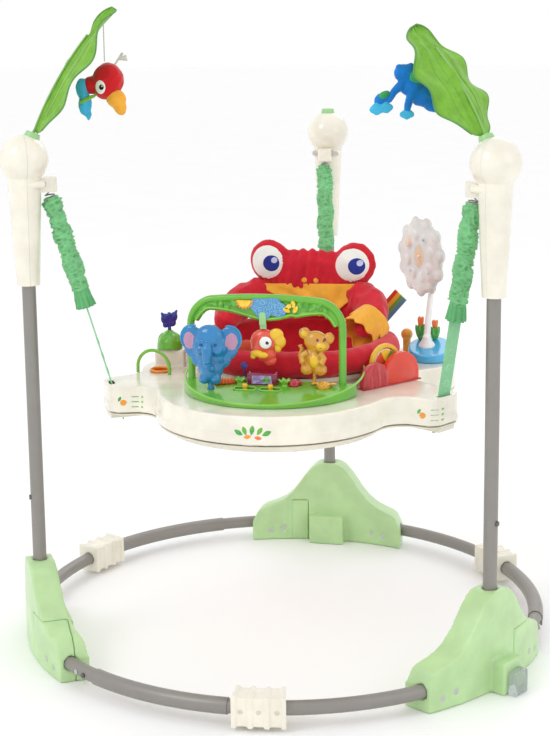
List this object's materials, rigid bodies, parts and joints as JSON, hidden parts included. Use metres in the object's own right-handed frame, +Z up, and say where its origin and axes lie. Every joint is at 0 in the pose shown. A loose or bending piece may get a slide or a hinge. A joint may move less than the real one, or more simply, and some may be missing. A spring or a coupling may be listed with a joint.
{
  "type": "activity jumper",
  "caption": "Free-standing baby jumper: ring base with upright posts, sprung straps, a round-armed toy tray and a turning cloth seat.",
  "frame": {"origin": "on the floor, under the middle of the footprint", "axes": "+Z up, -Y to the front, where the toy arch is"},
  "size_m": [0.7604, 0.7882, 0.9005],
  "materials": {
    "pale_green_plastic": "satin",
    "clear_plastic": "gloss",
    "grey_metal": "satin",
    "cream_plastic": "gloss",
    "bright_steel": "satin",
    "mint_fabric": "matte",
    "mint_webbing": "matte",
    "leaf_fabric": "matte",
    "leaf_wire_coat": "matte",
    "red_fabric": "matte",
    "green_plastic": "gloss",
    "blue_plastic": "gloss",
    "sky_plastic": "gloss",
    "red_plastic": "gloss",
    "orange_plastic": "gloss",
    "yellow_plastic": "gloss",
    "purple_plastic": "gloss",
    "white_plastic": "gloss",
    "navy_plastic": "satin",
    "picture_print": "satin",
    "bird_fabric": "matte",
    "frog_fabric": "matte"
  },
  "bodies": {
    "frame": {"feet": "pale_green_plastic", "foot_arms": "pale_green_plastic", "foot_pad": "clear_plastic", "ring_stubs": "grey_metal", "ring_long_tubes": "grey_metal", "ring_short_tubes": "grey_metal", "ring_connectors": "cream_plastic", "frame_screws": "bright_steel", "posts_lower": "grey_metal", "posts_upper": "grey_metal", "tower_outers": "cream_plastic", "tower_inners": "cream_plastic", "leaf_caps": "pale_green_plastic", "leaf_wires": "leaf_wire_coat", "leaves": "leaf_fabric", "springs": "bright_steel", "spring_covers": "mint_fabric"},
    "suspension": {"straps": "mint_webbing", "strap_hooks": "bright_steel"},
    "tray": {"tray_top": "cream_plastic", "tray_bottom": "cream_plastic", "strap_locks": "cream_plastic", "tray_screws": "bright_steel", "toy_base": "green_plastic", "toy_arch": "green_plastic", "arch_panel": "picture_print", "drum": "purple_plastic", "hoop": "green_plastic", "cup": "orange_plastic", "dome": "green_plastic", "hills": "red_plastic", "wheel_arch": "yellow_plastic", "pond_base": "sky_plastic", "lilies": "green_plastic", "cloud_stalk": "white_plastic", "rainbow_band": "sky_plastic", "deck_knob": "orange_plastic"},
    "seat": {"seat_ring": "cream_plastic", "seat_pouch": "red_fabric", "seat_back": "red_fabric"},
    "elephant": {"elephant": "blue_plastic"},
    "parrot": {"parrot": "red_plastic"},
    "monkey": {"monkey": "yellow_plastic"},
    "button_grub": {"button_grub": "orange_plastic"},
    "button_beetle": {"button_beetle": "red_plastic"},
    "button_bug": {"button_bug": "yellow_plastic"},
    "switch_left": {"switch_left": "yellow_plastic"},
    "switch_right": {"switch_right": "yellow_plastic"},
    "butterfly": {"butterfly": "navy_plastic"},
    "rainbow_disc": {"rainbow_disc": "sky_plastic"},
    "cloud_spinner": {"cloud_spinner": "white_plastic"},
    "bird_plush": {"bird_plush": "bird_fabric"},
    "frog_plush": {"frog_plush": "frog_fabric"},
    "post_button_left": {"post_button_left": "bright_steel"},
    "post_button_right": {"post_button_right": "bright_steel"},
    "post_button_back": {"post_button_back": "bright_steel"},
    "ring_button_left": {"ring_button_left": "bright_steel"},
    "ring_button_right": {"ring_button_right": "bright_steel"},
    "ring_button_back": {"ring_button_back": "bright_steel"}
  },
  "joints": [
    {"name": "bounce", "type": "slide", "parent": "frame", "child": "suspension", "axis": [0, 0, 1], "range_m": [-0.11, 0.04], "stiffness_N_per_m": 1000, "springref_m": 0.034, "deforming": ["springs", "spring_covers"]},
    {"name": "height_adjust", "type": "slide", "parent": "suspension", "child": "tray", "axis": [0, 0, 1], "range_m": [0, 0.05], "deforming": ["straps"]},
    {"name": "seat_spin", "type": "hinge", "parent": "tray", "child": "seat", "pos_m": [0.015, -0.00525, 0.384], "axis": [0, 0, 1], "continuous": true},
    {"name": "elephant_turn", "type": "hinge", "parent": "tray", "child": "elephant", "pos_m": [-0.057, -0.20425, 0.384], "axis": [0, 0, 1], "range_deg": [-15, 15], "stiffness_Nm_per_rad": 0.06},
    {"name": "parrot_swing", "type": "hinge", "parent": "tray", "child": "parrot", "pos_m": [0.009, -0.17125, 0.4815], "axis": [0, 1, 0], "range_deg": [-12, 12]},
    {"name": "monkey_spin", "type": "hinge", "parent": "tray", "child": "monkey", "pos_m": [0.079, -0.17625, 0.384], "axis": [0, 0, 1], "continuous": true},
    {"name": "grub_press", "type": "slide", "parent": "tray", "child": "button_grub", "axis": [0, 0, -1], "range_m": [0, 0.003], "stiffness_N_per_m": 150, "springref_m": -0.003},
    {"name": "beetle_press", "type": "slide", "parent": "tray", "child": "button_beetle", "axis": [0, 0, -1], "range_m": [0, 0.003], "stiffness_N_per_m": 150, "springref_m": -0.003},
    {"name": "bug_press", "type": "slide", "parent": "tray", "child": "button_bug", "axis": [0, 0, -1], "range_m": [0, 0.003], "stiffness_N_per_m": 150, "springref_m": -0.003},
    {"name": "switch_left_slide", "type": "slide", "parent": "tray", "child": "switch_left", "axis": [1, 0, 0], "range_m": [-0.008, 0.008]},
    {"name": "switch_right_slide", "type": "slide", "parent": "tray", "child": "switch_right", "axis": [1, 0, 0], "range_m": [-0.008, 0.008]},
    {"name": "butterfly_turn", "type": "hinge", "parent": "tray", "child": "butterfly", "pos_m": [-0.165, -0.02925, 0.411], "axis": [0, 0, 1], "range_deg": [-25, 25], "stiffness_Nm_per_rad": 0.01},
    {"name": "rainbow_spin", "type": "hinge", "parent": "tray", "child": "rainbow_disc", "pos_m": [0.1625, -0.08525, 0.4131], "axis": [0.788, -0.6157, 0], "continuous": true},
    {"name": "cloud_spin", "type": "hinge", "parent": "tray", "child": "cloud_spinner", "pos_m": [0.188, 0.09875, 0.535], "axis": [-0.7547, -0.6561, 0], "continuous": true},
    {"name": "bird_swing", "type": "hinge", "parent": "frame", "child": "bird_plush", "pos_m": [-0.2175, -0.13082, 0.88056], "axis": [-0.866, -0.5, 0], "range_deg": [-30, 30]},
    {"name": "frog_swing", "type": "hinge", "parent": "frame", "child": "frog_plush", "pos_m": [0.21558, -0.12972, 0.85528], "axis": [0.866, -0.5, 0], "range_deg": [-30, 30]},
    {"name": "post_button_left_press", "type": "slide", "parent": "frame", "child": "post_button_left", "axis": [0.866, 0.5, 0], "range_m": [0, 0.003], "stiffness_N_per_m": 500, "springref_m": -0.002},
    {"name": "post_button_right_press", "type": "slide", "parent": "frame", "child": "post_button_right", "axis": [-0.866, 0.5, 0], "range_m": [0, 0.003], "stiffness_N_per_m": 500, "springref_m": -0.002},
    {"name": "post_button_back_press", "type": "slide", "parent": "frame", "child": "post_button_back", "axis": [0, -1, 0], "range_m": [0, 0.003], "stiffness_N_per_m": 500, "springref_m": -0.002},
    {"name": "ring_button_left_press", "type": "slide", "parent": "frame", "child": "ring_button_left", "axis": [0.5505, 0.8348, 0], "range_m": [0, 0.003], "stiffness_N_per_m": 500, "springref_m": -0.002},
    {"name": "ring_button_right_press", "type": "slide", "parent": "frame", "child": "ring_button_right", "axis": [-0.9982, 0.0593, 0], "range_m": [0, 0.003], "stiffness_N_per_m": 500, "springref_m": -0.002},
    {"name": "ring_button_back_press", "type": "slide", "parent": "frame", "child": "ring_button_back", "axis": [0.4478, -0.8942, 0], "range_m": [0, 0.003], "stiffness_N_per_m": 500, "springref_m": -0.002}
  ]
}
